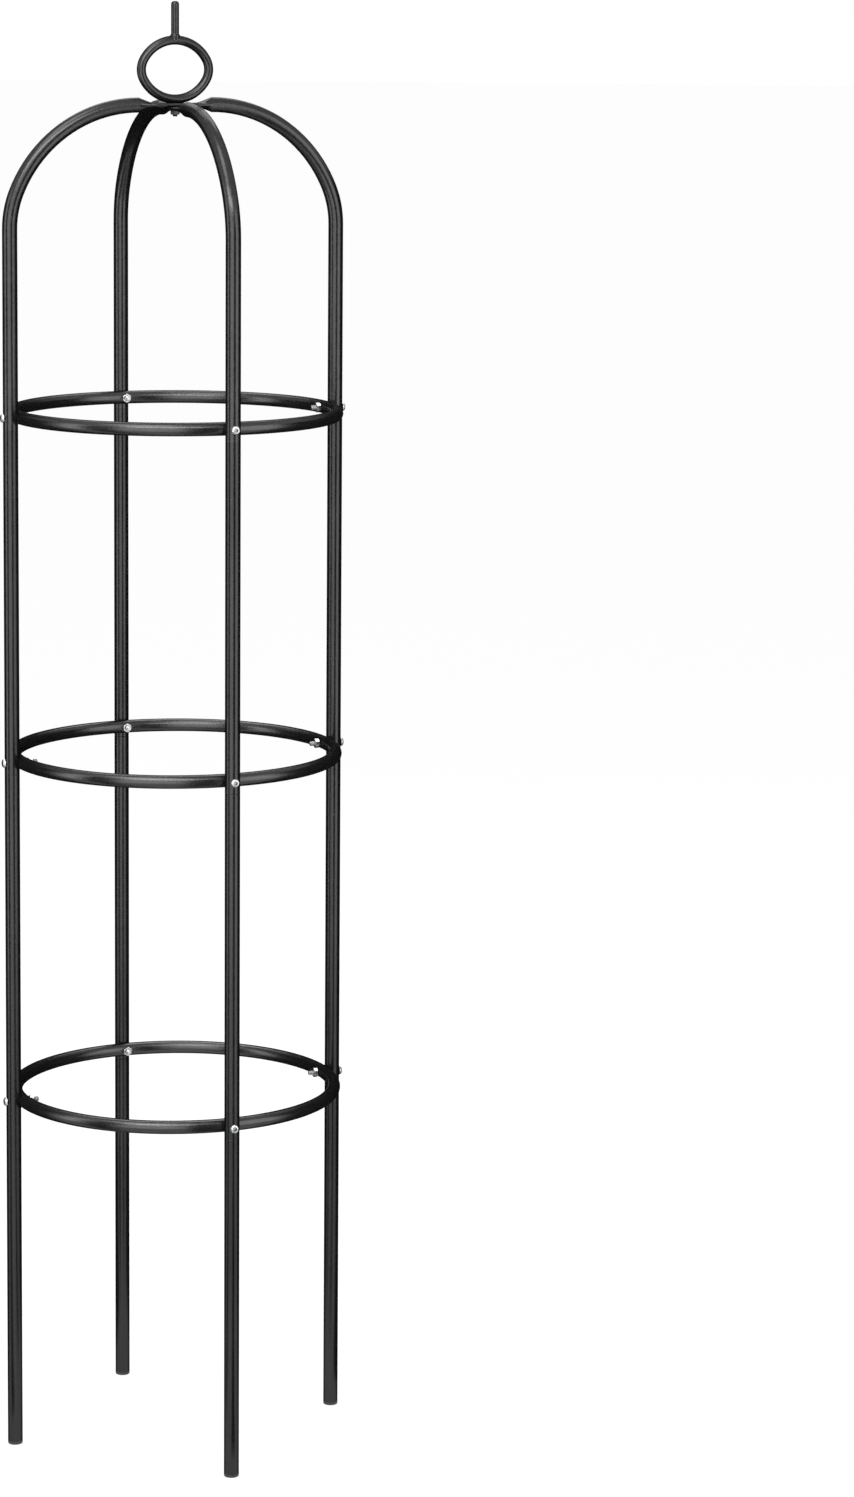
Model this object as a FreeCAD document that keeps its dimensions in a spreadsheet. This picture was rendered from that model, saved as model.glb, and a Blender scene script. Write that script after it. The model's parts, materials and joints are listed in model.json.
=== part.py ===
import FreeCAD, Part
import math
import os
import Sketcher
from FreeCAD import Placement, Rotation, Vector

# Garden obelisk: four tube legs in plug-together sections, three hoop rings inside them,
# two crossing arches on top and a finial.  Millimetres, +Z up, origin on the ground in the
# middle of the four feet.  The legs stand on the X and Y axes; the front leg is at -Y.

SIZES = [
    # overall
    ("leg_circle_radius", 206.0, "obelisk axis to the axis of each leg"),
    ("lower_ring_height", 428.0, "ground to the middle of the lowest ring"),
    ("ring_spacing", 415.0, "middle of one ring to the middle of the next"),
    ("arch_leg_length", 237.0, "foot of an arch to the start of its bend"),
    ("dome_rise", 145.0, "start of the bend to the middle of the crown"),
    # leg tube and its plug-together joints
    ("tube_diameter", 18.0, "outside of legs and arches"),
    ("tube_wall", 1.0, "wall of legs, spigots and arches"),
    ("tube_edge", 0.4, "chamfer on the tube ends that meet at a joint"),
    ("joint_drop", 13.5, "middle of a ring down to the joint of two leg sections"),
    ("spigot_length", 34.0, "reduced end that goes up into the next tube"),
    ("spigot_clearance", 0.15, "gap all round the spigot"),
    ("neck_length", 3.0, "length over which the bore narrows to the spigot"),
    # arches
    ("shoulder_radius", 115.0, "bend from the straight leg, to the tube's middle line"),
    ("crown_straight", 46.0, "half the straight middle of an arch"),
    ("flat_half_length", 28.0, "half the flattened middle of an arch"),
    ("flat_thickness", 4.2, "height of the flattened tube"),
    # rings
    ("ring_tube_diameter", 16.0, "outside of the ring tube"),
    ("ring_wall", 1.0, "wall of the ring tube"),
    ("seat_depth", 5.4, "how far a leg beds into the ring"),
    ("seat_clearance", 0.15, "gap between a leg and its seat in the ring"),
    # screws and nuts
    ("screw_diameter", 6.0, "screws and finial stud"),
    ("screw_length", 40.0, "under the head"),
    ("screw_hole_clearance", 0.25, "gap all round a screw in its hole"),
    ("screw_point", 0.8, "chamfer at the end of a screw or stud"),
    ("thread_pitch", 1.0, "one turn of the thread"),
    ("thread_depth", 0.45, "crest to root of the thread"),
    ("head_diameter", 10.5, "round head"),
    ("head_height", 3.3, "round head"),
    ("head_rounding", 2.7, "rounding of the head's edge"),
    ("socket_width", 4.0, "hexagon socket, across flats"),
    ("socket_depth", 2.0, "hexagon socket"),
    ("head_clearance", 0.05, "under the head, and under a nut"),
    ("nut_width", 10.0, "across flats"),
    ("nut_height", 5.2, "thickness"),
    ("nut_face_diameter", 9.6, "circle that the bevel leaves on each face"),
    ("nut_bevel", 0.5, "how far the bevel comes down the corners"),
    ("thread_clearance", 0.05, "gap between a nut and its screw"),
    # foot plugs
    ("plug_rim_height", 4.0, "rim below the end of the tube"),
    ("plug_stem_length", 14.0, "stem inside the tube"),
    ("plug_wall", 1.8, "wall of the hollow stem"),
    ("plug_rounding", 1.4, "rounding of the rim's lower edge"),
    ("plug_clearance", 0.1, "gap all round the stem"),
    # finial
    ("finial_half_width", 42.3, "oval, middle line of the rod"),
    ("finial_half_height", 35.0, "oval, middle line of the rod"),
    ("finial_side_radius", 25.0, "oval, bend at its two sides"),
    ("finial_rod_diameter", 11.0, "rod of the oval"),
    ("finial_seat_cut", 0.8, "flat ground under the oval"),
    ("spike_diameter", 9.5, "spike on top of the oval"),
    ("spike_length", 40.6, "above the top of the oval"),
    ("spike_rounding", 3.6, "rounding of the spike's tip"),
    ("weld_width", 1.2, "weld round the foot of the spike"),
    ("weld_height", 1.8, "weld round the foot of the spike"),
    ("stud_embed", 6.0, "stud inside the rod of the oval"),
    ("stud_end", 2.2, "stud below its nut"),
]

LEGS = [("right", 0), ("back", 90), ("left", 180), ("front", 270)]
RING_LEVELS = ["lower", "middle", "upper"]
SCREW_THREAD_TURNS = 5  # as many as show past the nut
STUD_THREAD_TURNS = 1

X_AXIS = Vector(1, 0, 0)
Y_AXIS = Vector(0, 1, 0)
Z_AXIS = Vector(0, 0, 1)
SAME = 0.001  # sizes closer than this are the same

LEG_RADIUS = "Sizes.leg_circle_radius"
TUBE_RADIUS = "Sizes.tube_diameter / 2"
TUBE_BORE_RADIUS = f"({TUBE_RADIUS} - Sizes.tube_wall)"
RING_TUBE_RADIUS = "Sizes.ring_tube_diameter / 2"
RING_RADIUS = f"({LEG_RADIUS} - {TUBE_RADIUS} + Sizes.seat_depth - {RING_TUBE_RADIUS})"
SCREW_RADIUS = "Sizes.screw_diameter / 2"
SCREW_HOLE_RADIUS = f"({SCREW_RADIUS} + Sizes.screw_hole_clearance)"
NUT_BORE_RADIUS = f"({SCREW_RADIUS} + Sizes.thread_clearance)"
TOP_JOINT_HEIGHT = "(Sizes.lower_ring_height + 2 * Sizes.ring_spacing - Sizes.joint_drop)"
CROWN_HEIGHT = f"({TOP_JOINT_HEIGHT} + Sizes.arch_leg_length + Sizes.dome_rise)"
CROWN_TOP = f"({CROWN_HEIGHT} + Sizes.flat_thickness / 2)"
CROWN_UNDERSIDE = f"({CROWN_TOP} - 2 * Sizes.flat_thickness)"
FINIAL_ROD_RADIUS = "Sizes.finial_rod_diameter / 2"
FINIAL_HEIGHT = (
    f"({CROWN_TOP} + Sizes.finial_half_height + {FINIAL_ROD_RADIUS} - Sizes.finial_seat_cut)"
)

doc = FreeCAD.newDocument("GardenObelisk")
sheet = doc.addObject("Spreadsheet::Sheet", "Sizes")
for row, (alias, size, note) in enumerate(SIZES, start=1):
    sheet.set(f"A{row}", alias)
    sheet.set(f"B{row}", str(size))
    sheet.set(f"C{row}", note)
    sheet.setAlias(f"B{row}", alias)
doc.recompute()

nodes = []


# ---------------------------------------------------------------- helpers


def value(expression):
    """Number that an expression of the sheet gives now."""
    return float(sheet.evalExpression(expression))


def new_body(name):
    return doc.addObject("PartDesign::Body", name)


def keep(part, solids=1):
    """Mark an object as a piece of the obelisk, made of so many solids."""
    part.Label = part.Name
    nodes.append((part, solids))
    return part


def place(part, angle=0, **moves):
    """Turn a part about Z and move it along x, y or z; the moves follow the sheet."""
    part.Placement = Placement(Vector(), Rotation(Z_AXIS, angle))
    for axis, expression in moves.items():
        part.setExpression(f"Placement.Base.{axis}", expression)


def origin_feature(body, role):
    return next(item for item in body.Origin.OriginFeatures if item.Role == role)


def new_sketch(body, name, role, offset=None):
    """Sketch on one of the body's own origin planes, moved off it along the plane's normal."""
    sketch = body.newObject("Sketcher::SketchObject", name)
    sketch.AttachmentSupport = [(origin_feature(body, role), "")]
    sketch.MapMode = "FlatFace"
    if offset is not None:
        sketch.setExpression("AttachmentOffset.Base.z", offset)
    return sketch


def drive(sketch, constraint, expression):
    index = sketch.addConstraint(constraint)
    sketch.setExpression(f"Constraints[{index}]", expression)


def fix_x(sketch, geometry, point, expression):
    distance = Sketcher.Constraint("DistanceX", -1, 1, geometry, point, value(expression))
    drive(sketch, distance, expression)


def fix_y(sketch, geometry, point, expression):
    distance = Sketcher.Constraint("DistanceY", -1, 1, geometry, point, value(expression))
    drive(sketch, distance, expression)


def fix_radius(sketch, geometry, expression):
    drive(sketch, Sketcher.Constraint("Radius", geometry, value(expression)), expression)


def add_outline(sketch, corners):
    """Closed outline of straight edges; a corner is a pair of expressions."""
    points = [Vector(value(x), value(y), 0) for x, y in corners]
    edges = []
    for start, end in zip(points, points[1:] + points[:1]):
        edges.append(sketch.addGeometry(Part.LineSegment(start, end)))
    for edge, following in zip(edges, edges[1:] + edges[:1]):
        sketch.addConstraint(Sketcher.Constraint("Coincident", edge, 2, following, 1))
    for edge, (x, y) in zip(edges, corners):
        fix_x(sketch, edge, 1, x)
        fix_y(sketch, edge, 1, y)


def add_circle(sketch, x, y, radius):
    centre = Vector(value(x), value(y), 0)
    circle = sketch.addGeometry(Part.Circle(centre, Z_AXIS, value(radius)))
    fix_x(sketch, circle, 3, x)
    fix_y(sketch, circle, 3, y)
    fix_radius(sketch, circle, radius)


def add_arc(sketch, centre, radius, start_angle, end_angle):
    circle = Part.Circle(Vector(*centre, 0), Z_AXIS, radius)
    return sketch.addGeometry(Part.ArcOfCircle(circle, start_angle, end_angle))


def add_slot(sketch, y, width, thickness):
    """Flat outline with round ends, lying along the sketch's X axis at height y."""
    radius = value(thickness) / 2
    reach = value(width) / 2 - radius
    level = value(y)
    right = add_arc(sketch, (reach, level), radius, -math.pi / 2, math.pi / 2)
    left = add_arc(sketch, (-reach, level), radius, math.pi / 2, 3 * math.pi / 2)
    top = sketch.addGeometry(
        Part.LineSegment(Vector(reach, level + radius, 0), Vector(-reach, level + radius, 0))
    )
    bottom = sketch.addGeometry(
        Part.LineSegment(Vector(-reach, level - radius, 0), Vector(reach, level - radius, 0))
    )
    sketch.addConstraint(Sketcher.Constraint("Tangent", right, 2, top, 1))
    sketch.addConstraint(Sketcher.Constraint("Tangent", top, 2, left, 1))
    sketch.addConstraint(Sketcher.Constraint("Tangent", left, 2, bottom, 1))
    sketch.addConstraint(Sketcher.Constraint("Tangent", bottom, 2, right, 1))
    fix_radius(sketch, right, f"({thickness}) / 2")
    fix_x(sketch, right, 3, f"(({width}) - ({thickness})) / 2")
    fix_x(sketch, left, 3, f"-(({width}) - ({thickness})) / 2")
    fix_y(sketch, right, 3, y)
    fix_y(sketch, left, 3, y)


def hexagon(width):
    """Corners of a hexagon about the sketch's origin, flats to left and right."""
    corner = f"{width} / 2 / cos(30)"
    return [(f"{corner} * cos({turn})", f"{corner} * sin({turn})") for turn in range(30, 390, 60)]


def revolve(body, name, sketch, axis, kind="PartDesign::Revolution"):
    feature = body.newObject(kind, name)
    feature.Profile = sketch
    feature.ReferenceAxis = (sketch, [axis])
    feature.Angle = 360
    return feature


def round_edges(body, name, feature, direction, level, edge_radius, rounding):
    """Fillet the circles of one radius that lie at one level along a direction."""
    doc.recompute()
    rims = []
    for number, edge in enumerate(feature.Shape.Edges, start=1):
        circle = edge.Curve
        if (
            isinstance(circle, Part.Circle)
            and abs(circle.Radius - value(edge_radius)) < SAME
            and abs(circle.Center.dot(direction) - value(level)) < SAME
        ):
            rims.append(f"Edge{number}")
    fillet = body.newObject("PartDesign::Fillet", name)
    fillet.Base = (feature, rims)
    fillet.setExpression("Radius", rounding)


def cut_through(body, name, sketch):
    """Cut a sketch's outline through the whole body, both ways."""
    pocket = body.newObject("PartDesign::Pocket", name)
    pocket.Profile = sketch
    pocket.Type = "ThroughAll"
    pocket.SideType = "Symmetric"
    return pocket


def transform_whole(feature, body):
    """Make a mirror or pattern repeat the whole body, and make it the body's result."""
    feature.TransformMode = "Whole shape"
    body.Tip = feature


def repeat_at_legs(body, name):
    """Copy what the body holds to the other three legs."""
    pattern = body.newObject("PartDesign::PolarPattern", name)
    pattern.Axis = (origin_feature(body, "Z_Axis"), [""])
    pattern.Angle = 360
    pattern.Occurrences = len(LEGS)
    transform_whole(pattern, body)


def mirror_left_right(body, name):
    mirror = body.newObject("PartDesign::Mirrored", name)
    mirror.MirrorPlane = (origin_feature(body, "YZ_Plane"), [""])
    transform_whole(mirror, body)


# ---------------------------------------------------------------- legs


def leg_section(name, length, joined_below):
    """Straight tube standing on Z, with a reduced spigot on top and screw holes along X."""
    body = new_body(name)
    spigot_radius = f"({TUBE_BORE_RADIUS} - Sizes.spigot_clearance)"
    spigot_bore = f"({spigot_radius} - Sizes.tube_wall)"
    spigot_top = f"({length} + Sizes.spigot_length)"
    profile = new_sketch(body, name + "_profile", "XZ_Plane")
    add_outline(profile, [
        (TUBE_BORE_RADIUS, "0"),
        (f"{TUBE_RADIUS} - Sizes.tube_edge", "0"),
        (TUBE_RADIUS, "Sizes.tube_edge"),
        (TUBE_RADIUS, f"{length} - Sizes.tube_edge"),
        (f"{TUBE_RADIUS} - Sizes.tube_edge", length),
        (spigot_radius, length),
        (spigot_radius, f"{spigot_top} - Sizes.tube_edge"),
        (f"{spigot_radius} - Sizes.tube_edge", spigot_top),
        (spigot_bore, spigot_top),
        (spigot_bore, length),
        (TUBE_BORE_RADIUS, f"{length} - Sizes.neck_length"),
    ])
    revolve(body, name + "_tube", profile, "V_Axis")
    holes = new_sketch(body, name + "_hole_outline", "YZ_Plane")
    add_circle(holes, "0", f"{length} + Sizes.joint_drop", SCREW_HOLE_RADIUS)
    if joined_below:
        add_circle(holes, "0", "Sizes.joint_drop", SCREW_HOLE_RADIUS)
    cut_through(body, name + "_holes", holes)
    return body


def foot_plug(name):
    """Plastic plug: a rim as wide as the tube and a hollow stem inside it."""
    body = new_body(name)
    stem_radius = f"({TUBE_BORE_RADIUS} - Sizes.plug_clearance)"
    stem_bore = f"({stem_radius} - Sizes.plug_wall)"
    stem_top = "(Sizes.plug_rim_height + Sizes.plug_stem_length)"
    profile = new_sketch(body, name + "_profile", "XZ_Plane")
    add_outline(profile, [
        ("0", "0"),
        (TUBE_RADIUS, "0"),
        (TUBE_RADIUS, "Sizes.plug_rim_height"),
        (stem_radius, "Sizes.plug_rim_height"),
        (stem_radius, f"{stem_top} - Sizes.tube_edge"),
        (f"{stem_radius} - Sizes.tube_edge", stem_top),
        (stem_bore, stem_top),
        (stem_bore, "Sizes.plug_rim_height"),
        ("0", "Sizes.plug_rim_height"),
    ])
    turned = revolve(body, name + "_turned", profile, "V_Axis")
    round_edges(body, name + "_edge", turned, Z_AXIS, "0", TUBE_RADIUS, "Sizes.plug_rounding")
    return body


def make_legs():
    lower_length = "(Sizes.lower_ring_height - Sizes.joint_drop - Sizes.plug_rim_height)"
    levels = [
        ("lower", lower_length, "Sizes.plug_rim_height", False),
        ("middle", "Sizes.ring_spacing", "Sizes.lower_ring_height - Sizes.joint_drop", True),
        ("upper", "Sizes.ring_spacing", f"{TOP_JOINT_HEIGHT} - Sizes.ring_spacing", True),
    ]
    for side, angle in LEGS:
        x = f"{LEG_RADIUS} * cos({angle})"
        y = f"{LEG_RADIUS} * sin({angle})"
        plug = keep(foot_plug(f"foot_plug_{side}"))
        place(plug, angle, x=x, y=y)
        for level, length, bottom, joined_below in levels:
            section = keep(leg_section(f"leg_{side}_{level}", length, joined_below))
            place(section, angle, x=x, y=y, z=bottom)


# ---------------------------------------------------------------- arches


def arch_path(body, name, straight):
    """Middle line of half an arch: straight leg, shoulder bend, flatter bend to the crown."""
    radius = value("Sizes.shoulder_radius")
    rise = value("Sizes.dome_rise")
    crown = value("Sizes.crown_straight")
    leg = value(LEG_RADIUS)
    height = value(straight)
    reach = leg - radius - crown
    crown_radius = (reach ** 2 + rise ** 2 - radius ** 2) / (2 * (rise - radius))
    meeting_angle = math.atan2(crown_radius - rise, reach)
    path = new_sketch(body, name, "XZ_Plane")
    line = path.addGeometry(Part.LineSegment(Vector(leg, 0, 0), Vector(leg, height, 0)))
    shoulder = add_arc(path, (leg - radius, height), radius, 0, meeting_angle)
    top_centre = (crown, height + rise - crown_radius)
    top = add_arc(path, top_centre, crown_radius, meeting_angle, math.pi / 2)
    path.addConstraint(Sketcher.Constraint("Vertical", line))
    fix_x(path, line, 1, LEG_RADIUS)
    fix_y(path, line, 1, "0")
    fix_y(path, line, 2, straight)
    path.addConstraint(Sketcher.Constraint("Tangent", line, 2, shoulder, 1))
    fix_radius(path, shoulder, "Sizes.shoulder_radius")
    path.addConstraint(Sketcher.Constraint("Tangent", shoulder, 2, top, 1))
    fix_x(path, top, 2, "Sizes.crown_straight")
    fix_y(path, top, 2, f"{straight} + Sizes.dome_rise")
    fix_x(path, top, 3, "Sizes.crown_straight")
    return path


def arch_material(body, name, straight, inset, additive):
    """Half an arch, inset from the tube's outside: pipe, squeeze to a slot, flat middle."""
    kind = "Additive" if additive else "Subtractive"
    crown = f"({straight} + Sizes.dome_rise)"
    path = arch_path(body, name + "_path", straight)
    start = new_sketch(body, name + "_start", "XY_Plane")
    add_circle(start, LEG_RADIUS, "0", f"{TUBE_RADIUS} - {inset}")
    pipe = body.newObject(f"PartDesign::{kind}Pipe", name + "_pipe")
    pipe.Profile = start
    pipe.Spine = (path, ["Edge1", "Edge2", "Edge3"])
    round_end = new_sketch(body, name + "_round_end", "YZ_Plane", "Sizes.crown_straight")
    add_circle(round_end, "0", crown, f"{TUBE_RADIUS} - {inset}")
    flat_end = new_sketch(body, name + "_flat_end", "YZ_Plane", "Sizes.flat_half_length")
    # the squeezed tube keeps its girth
    width = "(pi * (Sizes.tube_diameter - Sizes.flat_thickness) / 2 + Sizes.flat_thickness)"
    add_slot(flat_end, crown, f"{width} - 2 * {inset}", f"Sizes.flat_thickness - 2 * {inset}")
    loft = body.newObject(f"PartDesign::{kind}Loft", name + "_squeeze")
    loft.Profile = round_end
    loft.Sections = [flat_end]
    flat = body.newObject("PartDesign::Pad" if additive else "PartDesign::Pocket", name + "_flat")
    flat.Profile = flat_end
    flat.setExpression("Length", "Sizes.flat_half_length")
    flat.Reversed = additive


def arch(name, level):
    """Tube bent to an arch over two legs, squeezed flat where it crosses the other arch."""
    body = new_body(name)
    straight = f"(Sizes.arch_leg_length - {level} * Sizes.flat_thickness)"
    arch_material(body, name + "_outside", straight, "0", True)
    arch_material(body, name + "_bore", straight, "Sizes.tube_wall", False)
    mirror_left_right(body, name + "_both_sides")
    screws = new_sketch(body, name + "_screw_outline", "YZ_Plane")
    add_circle(screws, "0", "Sizes.joint_drop", SCREW_HOLE_RADIUS)
    cut_through(body, name + "_screw_holes", screws)
    stud = new_sketch(body, name + "_stud_outline", "XY_Plane")
    add_circle(stud, "0", "0", SCREW_HOLE_RADIUS)
    cut_through(body, name + "_stud_hole", stud)
    return body


def make_arches():
    place(keep(arch("arch_left_right", 0)), 0, z=TOP_JOINT_HEIGHT)
    place(keep(arch("arch_front_back", 1)), 90, z=TOP_JOINT_HEIGHT)


# ---------------------------------------------------------------- rings


def pressed_ring(name, inset, drilled):
    """Solid ring, inset from the ring tube's outside, with a seat pressed in at each leg."""
    body = new_body(name)
    section = new_sketch(body, name + "_section", "XZ_Plane")
    add_circle(section, RING_RADIUS, "0", f"{RING_TUBE_RADIUS} - {inset}")
    revolve(body, name + "_tube", section, "V_Axis")
    seats = new_sketch(body, name + "_seat_outline", "XY_Plane")
    seat_radius = f"{TUBE_RADIUS} + Sizes.seat_clearance + {inset}"
    for _, angle in LEGS:
        x = f"{LEG_RADIUS} * cos({angle})"
        y = f"{LEG_RADIUS} * sin({angle})"
        add_circle(seats, x, y, seat_radius)
    cut_through(body, name + "_seats", seats)
    if drilled:
        for role in ("YZ_Plane", "XZ_Plane"):
            hole = new_sketch(body, name + "_hole_" + role[:2], role)
            add_circle(hole, "0", "0", SCREW_HOLE_RADIUS)
            cut_through(body, name + "_drilled_" + role[:2], hole)
    return body


def make_rings():
    for index, level in enumerate(RING_LEVELS):
        name = f"ring_{level}"
        ring = doc.addObject("Part::Cut", name)
        ring.Base = pressed_ring(name + "_outside", "0", True)
        ring.Tool = pressed_ring(name + "_bore", "Sizes.ring_wall", False)
        place(keep(ring), z=f"Sizes.lower_ring_height + {index} * Sizes.ring_spacing")


# ---------------------------------------------------------------- screws and nuts


def thread(tip, turns):
    """Thread behind the chamfer at tip: pairs of place along the axis and radius."""
    start = f"{tip} + Sizes.screw_point"
    corners = [(start, SCREW_RADIUS)]
    for turn in range(turns):
        root = f"{SCREW_RADIUS} - Sizes.thread_depth"
        corners.append((f"{start} + {turn + 0.5} * Sizes.thread_pitch", root))
        corners.append((f"{start} + {turn + 1} * Sizes.thread_pitch", SCREW_RADIUS))
    return corners


def screw(name):
    """Round-headed screws through the legs, pointing at the obelisk's axis."""
    body = new_body(name)
    seat = f"({LEG_RADIUS} + {TUBE_RADIUS} + Sizes.head_clearance)"
    point = f"({seat} - Sizes.screw_length)"
    head_top = f"({seat} + Sizes.head_height)"
    head_radius = "Sizes.head_diameter / 2"
    profile = new_sketch(body, name + "_profile", "XZ_Plane")
    add_outline(profile, [
        (point, "0"),
        (point, f"{SCREW_RADIUS} - Sizes.screw_point"),
        *thread(point, SCREW_THREAD_TURNS),
        (seat, SCREW_RADIUS),
        (seat, head_radius),
        (head_top, head_radius),
        (head_top, "0"),
    ])
    turned = revolve(body, name + "_turned", profile, "H_Axis")
    round_edges(body, name + "_edge", turned, X_AXIS, head_top, head_radius, "Sizes.head_rounding")
    socket_outline = new_sketch(body, name + "_socket_outline", "YZ_Plane", head_top)
    add_outline(socket_outline, hexagon("Sizes.socket_width"))
    socket = body.newObject("PartDesign::Pocket", name + "_socket")
    socket.Profile = socket_outline
    socket.setExpression("Length", "Sizes.socket_depth")
    repeat_at_legs(body, name + "_at_legs")
    return body


def nut(name, face, at_legs):
    """Hexagon nut on the X axis, its seat at face and its body towards the origin."""
    body = new_body(name)
    bottom = f"({face} - Sizes.nut_height)"
    outline = new_sketch(body, name + "_outline", "YZ_Plane", face)
    add_outline(outline, hexagon("Sizes.nut_width"))
    prism = body.newObject("PartDesign::Pad", name + "_prism")
    prism.Profile = outline
    prism.setExpression("Length", "Sizes.nut_height")
    prism.Reversed = True
    bore_outline = new_sketch(body, name + "_bore_outline", "YZ_Plane")
    add_circle(bore_outline, "0", "0", NUT_BORE_RADIUS)
    cut_through(body, name + "_bore", bore_outline)
    # the bevel starts on the face and runs out past the corners
    start = "Sizes.nut_face_diameter / 2"
    corner = "(Sizes.nut_width / 2 / cos(30))"
    outside = "Sizes.nut_width"
    drop = f"Sizes.nut_bevel * ({outside} - {start}) / ({corner} - {start})"
    for end, plane, inward, outward in (("bottom", bottom, "+", "-"), ("face", face, "-", "+")):
        wedge = new_sketch(body, f"{name}_{end}_wedge", "XZ_Plane")
        add_outline(wedge, [
            (plane, start),
            (f"{plane} {inward} {drop}", outside),
            (f"{plane} {outward} Sizes.nut_bevel", outside),
            (f"{plane} {outward} Sizes.nut_bevel", start),
        ])
        revolve(body, f"{name}_{end}_bevel", wedge, "H_Axis", "PartDesign::Groove")
    if at_legs:
        repeat_at_legs(body, name + "_at_legs")
    return body


def make_fasteners():
    ring_inside = f"({RING_RADIUS} - {RING_TUBE_RADIUS} - Sizes.head_clearance)"
    for index, level in enumerate(RING_LEVELS):
        height = f"Sizes.lower_ring_height + {index} * Sizes.ring_spacing"
        screws = screw(f"screws_{level}_ring")
        nuts = nut(f"nuts_{level}_ring", ring_inside, True)
        place(keep(screws, len(LEGS)), z=height)
        place(keep(nuts, len(LEGS)), z=height)


# ---------------------------------------------------------------- finial


def half_oval(body, name):
    """Middle line of the right half of the oval, from its top to its bottom."""
    wide = value("Sizes.finial_half_width")
    tall = value("Sizes.finial_half_height")
    side = value("Sizes.finial_side_radius")
    reach = wide - side
    flatter = (reach ** 2 + tall ** 2 - side ** 2) / (2 * (tall - side))
    turn = math.atan2(flatter - tall, reach)
    path = new_sketch(body, name, "XZ_Plane")
    top = add_arc(path, (0, tall - flatter), flatter, turn, math.pi / 2)
    end = add_arc(path, (reach, 0), side, -turn, turn)
    bottom = add_arc(path, (0, flatter - tall), flatter, -math.pi / 2, -turn)
    path.addConstraint(Sketcher.Constraint("Tangent", top, 1, end, 2))
    path.addConstraint(Sketcher.Constraint("Tangent", end, 1, bottom, 2))
    fix_radius(path, end, "Sizes.finial_side_radius")
    fix_x(path, end, 3, "Sizes.finial_half_width - Sizes.finial_side_radius")
    fix_y(path, end, 3, "0")
    fix_x(path, top, 2, "0")
    fix_y(path, top, 2, "Sizes.finial_half_height")
    fix_x(path, top, 3, "0")
    fix_x(path, bottom, 1, "0")
    fix_x(path, bottom, 3, "0")
    return path


def finial_oval(name):
    """Round rod bent to an oval in the XZ plane, with a flat foot drilled for the stud."""
    body = new_body(name)
    path = half_oval(body, name + "_path")
    section = new_sketch(body, name + "_section", "YZ_Plane")
    add_circle(section, "0", "Sizes.finial_half_height", FINIAL_ROD_RADIUS)
    rod = body.newObject("PartDesign::AdditivePipe", name + "_rod")
    rod.Profile = section
    rod.Spine = (path, ["Edge1", "Edge2", "Edge3"])
    mirror_left_right(body, name + "_both_sides")
    lowest = f"(-Sizes.finial_half_height - {FINIAL_ROD_RADIUS})"
    foot_outline = new_sketch(body, name + "_foot_outline", "XY_Plane", lowest)
    reach = "Sizes.finial_half_width"
    add_outline(foot_outline, [
        (reach, reach),
        (f"-{reach}", reach),
        (f"-{reach}", f"-{reach}"),
        (reach, f"-{reach}"),
    ])
    foot = body.newObject("PartDesign::Pocket", name + "_foot")
    foot.Profile = foot_outline
    foot.Reversed = True
    foot.setExpression("Length", "Sizes.finial_seat_cut")
    hole_outline = new_sketch(body, name + "_hole_outline", "XY_Plane", lowest)
    add_circle(hole_outline, "0", "0", NUT_BORE_RADIUS)
    hole = body.newObject("PartDesign::Pocket", name + "_hole")
    hole.Profile = hole_outline
    hole.Reversed = True
    hole.setExpression("Length", "Sizes.finial_seat_cut + Sizes.stud_embed")
    return body


def spike_blank(name):
    """Spike with a round tip and its weld, reaching down to the middle of the rod."""
    body = new_body(name)
    radius = "Sizes.spike_diameter / 2"
    rod_top = f"(Sizes.finial_half_height + {FINIAL_ROD_RADIUS})"
    tip = f"({rod_top} + Sizes.spike_length)"
    profile = new_sketch(body, name + "_profile", "XZ_Plane")
    add_outline(profile, [
        ("0", "Sizes.finial_half_height"),
        (f"{radius} + Sizes.weld_width", "Sizes.finial_half_height"),
        (f"{radius} + Sizes.weld_width", rod_top),
        (radius, f"{rod_top} + Sizes.weld_height"),
        (radius, tip),
        ("0", tip),
    ])
    turned = revolve(body, name + "_turned", profile, "V_Axis")
    round_edges(body, name + "_edge", turned, Z_AXIS, tip, radius, "Sizes.spike_rounding")
    return body


def stud(name):
    """Threaded stud from the foot of the oval down through both arches and the nut."""
    body = new_body(name)
    top = f"({CROWN_TOP} + Sizes.stud_embed)"
    bottom = f"({CROWN_UNDERSIDE} - Sizes.head_clearance - Sizes.nut_height - Sizes.stud_end)"
    profile = new_sketch(body, name + "_profile", "XZ_Plane")
    add_outline(profile, [
        ("0", bottom),
        (f"{SCREW_RADIUS} - Sizes.screw_point", bottom),
        *[(radius, height) for height, radius in thread(bottom, STUD_THREAD_TURNS)],
        (SCREW_RADIUS, top),
        ("0", top),
    ])
    revolve(body, name + "_turned", profile, "V_Axis")
    return body


def make_finial():
    oval = keep(finial_oval("finial_oval"))
    place(oval, z=FINIAL_HEIGHT)
    blank = spike_blank("finial_spike_blank")
    place(blank, z=FINIAL_HEIGHT)
    # the foot of the spike is coped to sit on the rod
    spike = doc.addObject("Part::Cut", "finial_spike")
    spike.Base = blank
    spike.Tool = oval
    keep(spike)
    keep(stud("finial_stud"))
    # the nut is made along X and turned upright
    seat = f"({CROWN_UNDERSIDE} - Sizes.head_clearance)"
    finial_nut = keep(nut("finial_nut", seat, False))
    finial_nut.Placement = Placement(Vector(), Rotation(Y_AXIS, -90))


# ---------------------------------------------------------------- build, test and write


def failures():
    """What is wrong with the document, in words."""
    found = []
    for item in doc.Objects:
        if "Invalid" in item.State or "Error" in item.State:
            found.append(f"{item.Name} is {item.State}")
    for part, solids in nodes:
        if part.Shape.isNull() or not part.Shape.isValid():
            found.append(f"{part.Label} has no valid shape")
        elif len(part.Shape.Solids) != solids:
            found.append(f"{part.Label} has {len(part.Shape.Solids)} solids, not {solids}")
    return found


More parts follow.
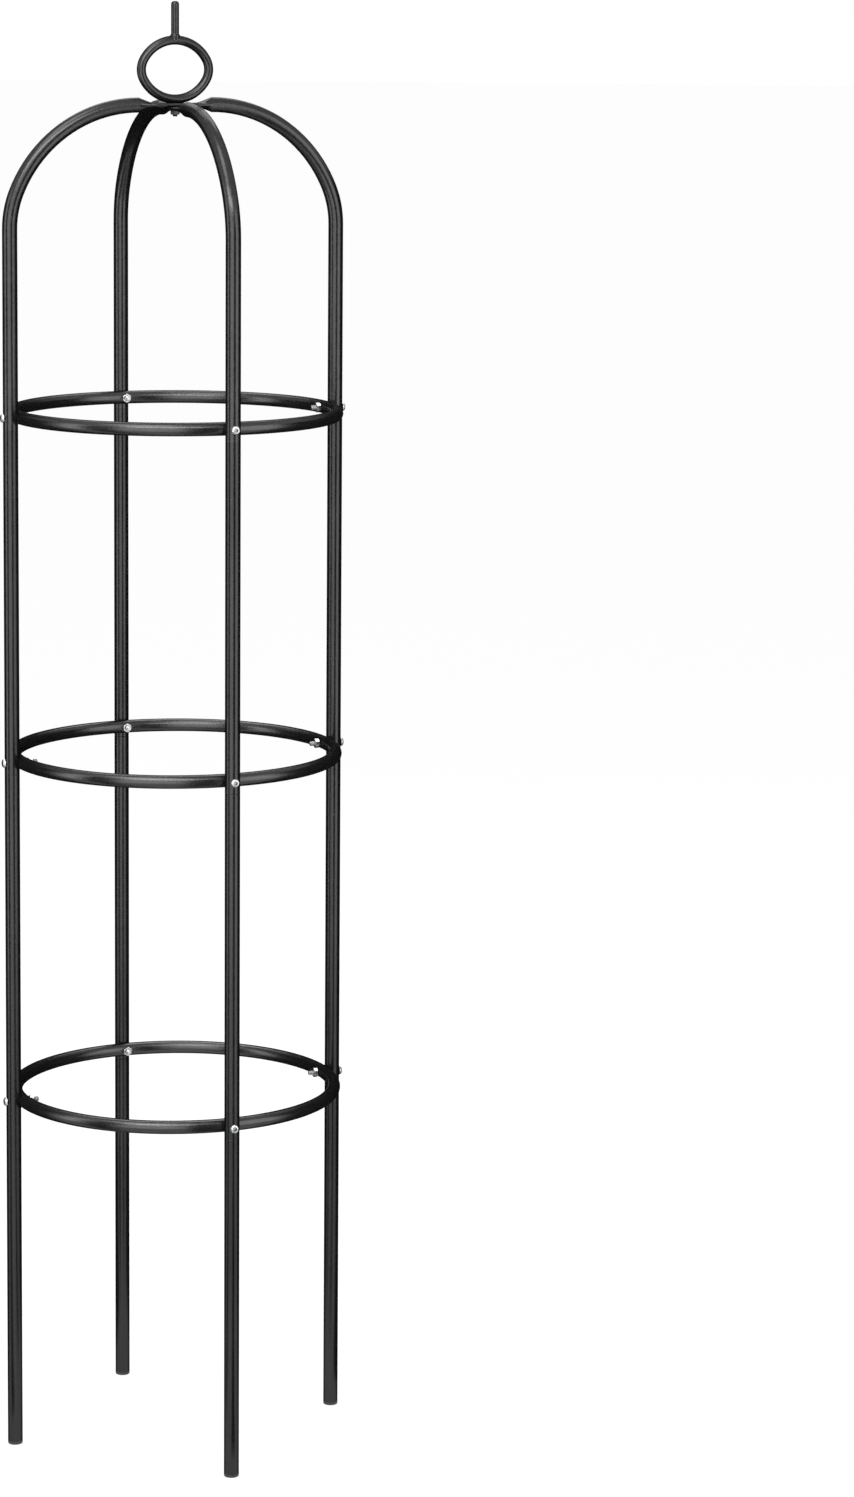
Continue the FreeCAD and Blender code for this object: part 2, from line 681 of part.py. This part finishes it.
make_legs()
make_arches()
make_rings()
make_fasteners()
make_finial()
doc.recompute()

problems = failures()
if problems:
    raise SystemExit("\n".join(problems))

os.makedirs("parts", exist_ok=True)
for part, _ in nodes:
    part.Shape.exportStep(f"parts/{part.Label}.step")
print(f"{len(nodes)} sub-parts written")
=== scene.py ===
"""Looks of the garden obelisk: coated tube, rings and finial, zinc fasteners, plastic foot plugs.

Metres, Z up, the obelisk standing on z = 0 with its axis on Z. The CAD nodes carry the shape; this
script gives them their materials and sets the floor, the lamps and the camera.
"""

import json
import math

import bmesh
import bpy
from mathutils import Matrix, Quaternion, Vector

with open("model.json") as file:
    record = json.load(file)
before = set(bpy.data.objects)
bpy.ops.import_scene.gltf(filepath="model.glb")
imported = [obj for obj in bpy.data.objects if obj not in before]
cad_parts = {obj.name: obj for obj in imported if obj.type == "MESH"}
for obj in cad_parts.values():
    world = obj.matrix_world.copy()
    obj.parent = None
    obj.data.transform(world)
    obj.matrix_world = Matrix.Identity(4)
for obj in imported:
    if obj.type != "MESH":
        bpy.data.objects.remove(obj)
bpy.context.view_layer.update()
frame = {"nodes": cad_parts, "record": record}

# The camera, at the height of someone's raised arm and looking slightly down. The shift takes up
# part of the tilt, so that the legs stay nearly parallel.
CAMERA_AZIMUTH = -19.0315  # degrees round Z from the -Y side
CAMERA_DISTANCE = 5.2742  # from the axis
CAMERA_HEIGHT = 1.8005
CAMERA_PAN = -3.3039  # degrees from the axis; the obelisk stands left of the middle of the picture
CAMERA_TILT = 7.3106  # degrees below level
CAMERA_ROLL = 0.4196  # degrees
CAMERA_LENS = 105.804  # mm
SENSOR_LONG_SIDE = 36.0  # mm
CAMERA_SHIFT = -0.15  # of the long side
VIEW_LIMIT = 300.0  # beyond the far edge of the floor

AMBIENT = 0.30  # share of a surface's own colour that the surroundings bring out
KEY_STRENGTH = 1.1
KEY_SPREAD = 35.0  # degrees across the sun's disc, which softens its shadow
KEY_AZIMUTH = -35.0  # degrees round from the camera, as for every lamp and flag

FLOOR_RADIUS = 60.0
FLOOR_SIDES = 96
FLOOR_DROP = 0.0005  # below the feet, so that the two don't share a plane
FLOOR_LEVEL = 0.90
FLOOR_GLOW = 0.78  # share of the floor's look that is plain white backdrop
GLOW_STRENGTH = 1.10

FLAG_PROFILE = ((0.30, 0.002), (1.5, 0.002), (1.5, 1.9))  # distance from the axis, height
FLAG_STEPS = 16
FLAG_LEVEL = 0.01

# Grey levels of the black coat: its two cloudy tones, its draw marks, its scuffs and its edges
COAT_DARK, COAT_PALE, COAT_DRAWN = 0.042, 0.056, 0.068
COAT_SCUFFED, COAT_RUBBED = 0.13, 0.17
RECESS_SHADE = 0.05  # painted shade in the corners and recesses of the fasteners
PLASTIC_DARK, PLASTIC_PALE = 0.012, 0.022

# How finely the draw marks repeat along X, Y and Z, per metre
GRAIN_UP_THE_TUBE = (420.0, 420.0, 5.0)
GRAIN_ROUND_THE_RING = (60.0, 60.0, 520.0)
GRAIN_EVEN = (160.0, 160.0, 160.0)


# ---------------------------------------------------------------- node helpers

def grey(level):
    """The colour of that level, without a tint."""
    return (level, level, level, 1.0)


def new_material(name):
    """An empty node material, with its tree, its shader and the object coordinates."""
    material = bpy.data.materials.new(name)
    material.use_nodes = True
    tree = material.node_tree
    tree.nodes.clear()
    output = tree.nodes.new("ShaderNodeOutputMaterial")
    shader = tree.nodes.new("ShaderNodeBsdfPrincipled")
    tree.links.new(shader.outputs["BSDF"], output.inputs["Surface"])
    place = tree.nodes.new("ShaderNodeTexCoord").outputs["Object"]
    return material, tree, shader, place


def stretch(tree, place, scale):
    """The coordinates, scaled by a different amount along each axis."""
    mapping = tree.nodes.new("ShaderNodeMapping")
    mapping.inputs["Scale"].default_value = scale
    tree.links.new(place, mapping.inputs["Vector"])
    return mapping.outputs["Vector"]


def noise(tree, place, scale, detail, roughness):
    """A noise value from 0 to 1; scale is how many bumps fit in a metre."""
    node = tree.nodes.new("ShaderNodeTexNoise")
    node.inputs["Scale"].default_value = scale
    node.inputs["Detail"].default_value = detail
    node.inputs["Roughness"].default_value = roughness
    tree.links.new(place, node.inputs["Vector"])
    return node.outputs["Fac"]


def remap(tree, value, span, new_span):
    """The value, with its span spread over the new span and clamped to it."""
    node = tree.nodes.new("ShaderNodeMapRange")
    node.inputs["From Min"].default_value, node.inputs["From Max"].default_value = span
    node.inputs["To Min"].default_value, node.inputs["To Max"].default_value = new_span
    tree.links.new(value, node.inputs["Value"])
    return node.outputs["Result"]


def combine(tree, operation, first, second):
    """A sum, product or other operation on two values; either may be a plain number."""
    node = tree.nodes.new("ShaderNodeMath")
    node.operation = operation
    for socket, value in zip(node.inputs, (first, second)):
        if isinstance(value, (int, float)):
            socket.default_value = value
        else:
            tree.links.new(value, socket)
    return node.outputs["Value"]


def blend_colour(tree, amount, first, second):
    """first where amount is 0 and second where it is 1; each is a colour or a link."""
    node = tree.nodes.new("ShaderNodeMix")
    node.data_type = "RGBA"
    tree.links.new(amount, node.inputs["Factor"])
    colour_inputs = [s for s in node.inputs if s.type == "RGBA"]
    for socket, value in zip(colour_inputs, (first, second)):
        if isinstance(value, tuple):
            socket.default_value = value
        else:
            tree.links.new(value, socket)
    return next(s for s in node.outputs if s.type == "RGBA")


def bump(tree, height, distance, before=None):
    """A bump of that height in metres, on top of an earlier one."""
    node = tree.nodes.new("ShaderNodeBump")
    node.inputs["Distance"].default_value = distance
    tree.links.new(height, node.inputs["Height"])
    if before is not None:
        tree.links.new(before, node.inputs["Normal"])
    return node.outputs["Normal"]


def edge_mask(tree, radius):
    """1 on edges sharper than that radius in metres, 0 on the rest.

    It compares the surface's own direction with the one that a rounding of that radius gives it:
    1 is the same direction.
    """
    bevel = tree.nodes.new("ShaderNodeBevel")
    bevel.samples = 6
    bevel.inputs["Radius"].default_value = radius
    geometry = tree.nodes.new("ShaderNodeNewGeometry")
    likeness = tree.nodes.new("ShaderNodeVectorMath")
    likeness.operation = "DOT_PRODUCT"
    tree.links.new(bevel.outputs["Normal"], likeness.inputs[0])
    tree.links.new(geometry.outputs["Normal"], likeness.inputs[1])
    return remap(tree, likeness.outputs["Value"], (0.98, 0.86), (0.0, 1.0))


def painted_shade_mask(tree, reach):
    """1 in corners and gaps narrower than that reach in metres, 0 in the open; it marks where shade
    falls, for painted shade.
    """
    shade = tree.nodes.new("ShaderNodeAmbientOcclusion")
    shade.samples = 8
    shade.inputs["Distance"].default_value = reach
    return remap(tree, shade.outputs["AO"], (0.85, 0.35), (0.0, 1.0))


# ---------------------------------------------------------------- materials

def coated_steel(name, grain, light_and_shade_scale, sheen_at_edges=0.0):
    """Satin black powder coat over the faint draw marks of the steel below it.

    grain is how finely those marks repeat along each axis. The third argument scales the coat's own
    tones as painted light and shade: it makes lighter and darker copies of the same coat, part by
    part. sheen_at_edges is how much of its gloss is left along the outline of a tube, where the
    surface is seen at a glancing angle: at 0 the outline is almost black.
    """
    material, tree, shader, place = new_material(name)
    drawn = noise(tree, stretch(tree, place, grain), scale=1.0, detail=3.0, roughness=0.6)
    peel = noise(tree, place, scale=420.0, detail=2.0, roughness=0.5)
    fine = noise(tree, place, scale=2600.0, detail=1.0, roughness=0.4)
    cloud = noise(tree, place, scale=9.0, detail=4.0, roughness=0.55)
    wear = noise(tree, place, scale=75.0, detail=6.0, roughness=0.7)
    scuffed = remap(tree, wear, (0.66, 0.74), (0.0, 1.0))
    rubbed = combine(tree, "MULTIPLY", edge_mask(tree, 0.0006),
                     remap(tree, drawn, (0.3, 0.6), (0.4, 0.9)))

    # The coat's tones are scaled part by part here, as painted light and shade
    tone = blend_colour(tree, remap(tree, cloud, (0.3, 0.7), (0.0, 1.0)),
                        grey(COAT_DARK * light_and_shade_scale), grey(COAT_PALE * light_and_shade_scale))
    tone = blend_colour(tree, remap(tree, drawn, (0.35, 0.7), (0.0, 0.5)),
                        tone, grey(COAT_DRAWN * light_and_shade_scale))
    tone = blend_colour(tree, combine(tree, "MULTIPLY", scuffed, 0.35), tone, grey(COAT_SCUFFED))
    tone = blend_colour(tree, rubbed, tone, grey(COAT_RUBBED))
    tree.links.new(tone, shader.inputs["Base Color"])

    rough = combine(tree, "ADD", remap(tree, cloud, (0.3, 0.7), (0.20, 0.26)),
                    remap(tree, drawn, (0.3, 0.7), (-0.02, 0.03)))
    rough = combine(tree, "ADD", rough, combine(tree, "MULTIPLY", scuffed, 0.18))
    tree.links.new(rough, shader.inputs["Roughness"])
    shader.inputs["Metallic"].default_value = 0.9
    shader.inputs["Specular Tint"].default_value = grey(sheen_at_edges)
    shader.inputs["Specular IOR Level"].default_value = 0.3

    orange_peel = bump(tree, peel, 0.00012)
    tree.links.new(bump(tree, fine, 0.00002, orange_peel), shader.inputs["Normal"])
    return material


def zinc_plate(name, dull, bright):
    """Zinc on the fasteners, slightly blue, with a fine grain, cloudy spots and painted shade in
    its corners.

    dull and bright are the grey levels of its spots.
    """
    material, tree, shader, place = new_material(name)
    cloud = noise(tree, place, scale=380.0, detail=4.0, roughness=0.6)
    grain = noise(tree, place, scale=2400.0, detail=2.0, roughness=0.5)
    tone = blend_colour(tree, remap(tree, cloud, (0.35, 0.65), (0.0, 1.0)),
                        (dull, dull * 1.02, dull * 1.05, 1.0),
                        (bright, bright * 1.02, bright * 1.04, 1.0))
    # Painted shade: the zinc goes dark in the corners and recesses that the occlusion mask finds
    tone = blend_colour(tree, painted_shade_mask(tree, 0.0025), tone, grey(RECESS_SHADE))
    tree.links.new(tone, shader.inputs["Base Color"])
    shader.inputs["Metallic"].default_value = 1.0
    rough = remap(tree, cloud, (0.3, 0.7), (0.22, 0.42))
    tree.links.new(rough, shader.inputs["Roughness"])
    tree.links.new(bump(tree, grain, 0.00003), shader.inputs["Normal"])
    return material


def black_plastic():
    """Moulded black polyethylene with a fine spark-eroded texture."""
    material, tree, shader, place = new_material("moulded_plastic")
    cloud = noise(tree, place, scale=140.0, detail=3.0, roughness=0.5)
    spark = noise(tree, place, scale=1700.0, detail=2.0, roughness=0.6)
    tone = blend_colour(tree, remap(tree, cloud, (0.3, 0.7), (0.0, 1.0)),
                        grey(PLASTIC_DARK), grey(PLASTIC_PALE))
    tree.links.new(tone, shader.inputs["Base Color"])
    rough = remap(tree, spark, (0.3, 0.7), (0.42, 0.58))
    tree.links.new(rough, shader.inputs["Roughness"])
    tree.links.new(bump(tree, spark, 0.00006), shader.inputs["Normal"])
    return material


def dress():
    """Puts on each node the material of its slot, or one of its own.

    The arches keep some sheen at their outline, because near the crown the front one is seen at a
    glancing angle all over. The stud and the nut at the crown are dark in the photograph, so they
    have a black zinc.
    """
    # The tone scales below paint light and shade: the same black coat is darker on the legs and
    # finial and lighter on the arches and rings
    by_slot = {
        "coated_tube": coated_steel("coated_tube_steel", GRAIN_UP_THE_TUBE, light_and_shade_scale=0.72),
        "coated_ring": coated_steel("coated_ring_steel", GRAIN_ROUND_THE_RING, light_and_shade_scale=1.05,
                                    sheen_at_edges=0.25),
        "coated_finial": coated_steel("coated_finial_steel", GRAIN_EVEN, light_and_shade_scale=0.75),
        "zinc": zinc_plate("bright_zinc", dull=0.42, bright=0.58),
        "black_plastic": black_plastic(),
    }
    arch = coated_steel("coated_arch_steel", GRAIN_EVEN, light_and_shade_scale=0.85, sheen_at_edges=0.4)
    black_zinc = zinc_plate("black_zinc", dull=0.05, bright=0.09)
    by_node = {"arch_left_right": arch, "arch_front_back": arch,
               "finial_stud": black_zinc, "finial_nut": black_zinc}
    for part in frame["record"]["subparts"]:
        material = by_node.get(part["node"], by_slot[part["material_slot"]])
        for slot in frame["nodes"][part["node"]].material_slots:
            slot.material = material


# ---------------------------------------------------------------- studio

def seen_directly(tree):
    """1 for rays from the camera, a mirror or glass, 0 for the light that falls on things."""
    path = tree.nodes.new("ShaderNodeLightPath")
    total = combine(tree, "ADD", path.outputs["Is Camera Ray"], path.outputs["Is Glossy Ray"])
    total = combine(tree, "ADD", total, path.outputs["Is Transmission Ray"])
    return combine(tree, "MINIMUM", total, 1.0)


def make_world():
    """A white surround to look at, and an even, softer light from all of it."""
    world = bpy.data.worlds.new("studio")
    bpy.context.scene.world = world
    world.use_nodes = True
    tree = world.node_tree
    background = tree.nodes["Background"]
    background.inputs["Color"].default_value = grey(1.0)
    strength = remap(tree, seen_directly(tree), (0.0, 1.0), (AMBIENT, 1.0))
    tree.links.new(strength, background.inputs["Strength"])
    world.cycles.sampling_method = "NONE"


def floor_material():
    """A matt pale floor that keeps shadows, and looks white like the surround."""
    material = bpy.data.materials.new("studio_floor")
    material.use_nodes = True
    tree = material.node_tree
    tree.nodes.clear()
    output = tree.nodes.new("ShaderNodeOutputMaterial")
    matt = tree.nodes.new("ShaderNodeBsdfDiffuse")
    matt.inputs["Color"].default_value = grey(FLOOR_LEVEL)
    glow = tree.nodes.new("ShaderNodeEmission")
    glow.inputs["Color"].default_value = grey(1.0)
    glow.inputs["Strength"].default_value = GLOW_STRENGTH
    mixed = tree.nodes.new("ShaderNodeMixShader")
    share = combine(tree, "MULTIPLY", seen_directly(tree), FLOOR_GLOW)
    tree.links.new(share, mixed.inputs["Fac"])
    tree.links.new(matt.outputs["BSDF"], mixed.inputs[1])
    tree.links.new(glow.outputs["Emission"], mixed.inputs[2])
    tree.links.new(mixed.outputs["Shader"], output.inputs["Surface"])
    return material


def make_floor():
    """One round sheet, large enough to reach the horizon."""
    mesh = bpy.data.meshes.new("studio_floor")
    shape = bmesh.new()
    bmesh.ops.create_circle(shape, cap_ends=True, segments=FLOOR_SIDES, radius=FLOOR_RADIUS)
    shape.to_mesh(mesh)
    shape.free()
    floor = bpy.data.objects.new("studio_floor", mesh)
    floor.location.z = -FLOOR_DROP
    bpy.context.scene.collection.objects.link(floor)
    mesh.materials.append(floor_material())


def around(azimuth, distance, height):
    """A point that far from the axis, in the direction that a camera at that azimuth stands."""
    angle = math.radians(azimuth)
    return Vector((math.sin(angle) * distance, -math.cos(angle) * distance, height))


def aim(thing, target):
    """Turns a lamp to shine at the target."""
    thing.rotation_euler = (target - thing.location).to_track_quat("-Z", "Y").to_euler()


def lamp(name, azimuth, distance, height, size, radiance, target_height):
    """A soft box of that width and height in metres, aimed at the axis.

    azimuth is in degrees round from the camera, and radiance is the box's own brightness.
    """
    data = bpy.data.lights.new(name, "AREA")
    data.shape = "RECTANGLE"
    data.size, data.size_y = size
    data.energy = radiance * math.pi * size[0] * size[1]
    box = bpy.data.objects.new(name, data)
    box.location = around(CAMERA_AZIMUTH + azimuth, distance, height)
    aim(box, Vector((0.0, 0.0, target_height)))
    box.visible_camera = False
    bpy.context.scene.collection.objects.link(box)


def key_lamp():
    """A high, very soft sun, as strong on the far floor as beside the obelisk."""
    data = bpy.data.lights.new("key_lamp", "SUN")
    data.energy = KEY_STRENGTH
    data.angle = math.radians(KEY_SPREAD)
    sun = bpy.data.objects.new("key_lamp", data)
    sun.location = around(CAMERA_AZIMUTH + KEY_AZIMUTH, distance=1.8, height=4.0)
    aim(sun, Vector((0.0, 0.0, 0.0)))
    bpy.context.scene.collection.objects.link(sun)


def make_lamps():
    """The key lamp, three upright boxes that draw the light stripes, and two above for the rest."""
    key_lamp()
    lamp("box_left", azimuth=-72.0, distance=2.4, height=1.30,
         size=(0.70, 2.6), radiance=2.8, target_height=1.30)
    lamp("box_near", azimuth=-16.0, distance=2.4, height=1.55,
         size=(1.90, 3.1), radiance=1.9, target_height=1.55)
    lamp("box_right", azimuth=55.0, distance=2.4, height=1.30,
         size=(1.50, 2.6), radiance=2.0, target_height=1.30)
    lamp("box_top", azimuth=-8.0, distance=2.2, height=3.10,
         size=(2.40, 0.7), radiance=8.0, target_height=1.10)
    lamp("box_behind", azimuth=180.0, distance=1.7, height=3.15,
         size=(2.00, 1.3), radiance=6.0, target_height=1.60)


def flag_material():
    """Black cloth without any gloss."""
    material = bpy.data.materials.new("studio_flag")
    material.use_nodes = True
    shader = material.node_tree.nodes["Principled BSDF"]
    shader.inputs["Base Color"].default_value = grey(FLAG_LEVEL)
    shader.inputs["Roughness"].default_value = 1.0
    shader.inputs["Specular IOR Level"].default_value = 0.0
    return material


def flag(name, first, last, material):
    """A curved dark sheet beside the obelisk, as a studio sets up to draw dark lines on gloss.

    It is there for reflections only: it neither shows nor throws a shadow. Its foot lies on the
    floor, and first and last are its edges, in degrees round from the camera.
    """
    mesh = bpy.data.meshes.new(name)
    shape = bmesh.new()
    directions = [CAMERA_AZIMUTH + first + (last - first) * step / FLAG_STEPS
                  for step in range(FLAG_STEPS + 1)]
    rows = [[shape.verts.new(around(azimuth, distance, height)) for azimuth in directions]
            for distance, height in FLAG_PROFILE]
    for lower, upper in zip(rows, rows[1:]):
        for step in range(FLAG_STEPS):
            shape.faces.new((lower[step], lower[step + 1], upper[step + 1], upper[step]))
    shape.to_mesh(mesh)
    shape.free()
    mesh.materials.append(material)
    sheet = bpy.data.objects.new(name, mesh)
    bpy.context.scene.collection.objects.link(sheet)
    sheet.visible_camera = False
    sheet.visible_diffuse = False
    sheet.visible_transmission = False
    sheet.visible_volume_scatter = False
    sheet.visible_shadow = False


def make_flags():
    """Two narrow flags between the upright boxes, and one that closes the back."""
    material = flag_material()
    flag("flag_near_right", first=10.0, last=34.0, material=material)
    flag("flag_near_left", first=-63.0, last=-40.0, material=material)
    flag("flag_far", first=76.0, last=272.0, material=material)


def make_camera():
    """The camera that the constants at the top describe."""
    data = bpy.data.cameras.new("camera")
    data.lens = CAMERA_LENS
    data.sensor_width = SENSOR_LONG_SIDE
    data.shift_y = CAMERA_SHIFT
    data.clip_end = VIEW_LIMIT
    camera = bpy.data.objects.new("camera", data)
    camera.location = around(CAMERA_AZIMUTH, CAMERA_DISTANCE, CAMERA_HEIGHT)
    turn = math.radians(CAMERA_AZIMUTH + CAMERA_PAN)
    tilt = math.radians(CAMERA_TILT)
    ahead = Vector((-math.sin(turn) * math.cos(tilt), math.cos(turn) * math.cos(tilt),
                    -math.sin(tilt)))
    roll = Quaternion((0.0, 0.0, 1.0), math.radians(CAMERA_ROLL))
    camera.rotation_mode = "QUATERNION"
    camera.rotation_quaternion = ahead.to_track_quat("-Z", "Y") @ roll
    bpy.context.scene.collection.objects.link(camera)
    bpy.context.scene.camera = camera


dress()
make_world()
make_floor()
make_lamps()
make_flags()
make_camera()
bpy.context.scene.view_settings.view_transform = "Standard"
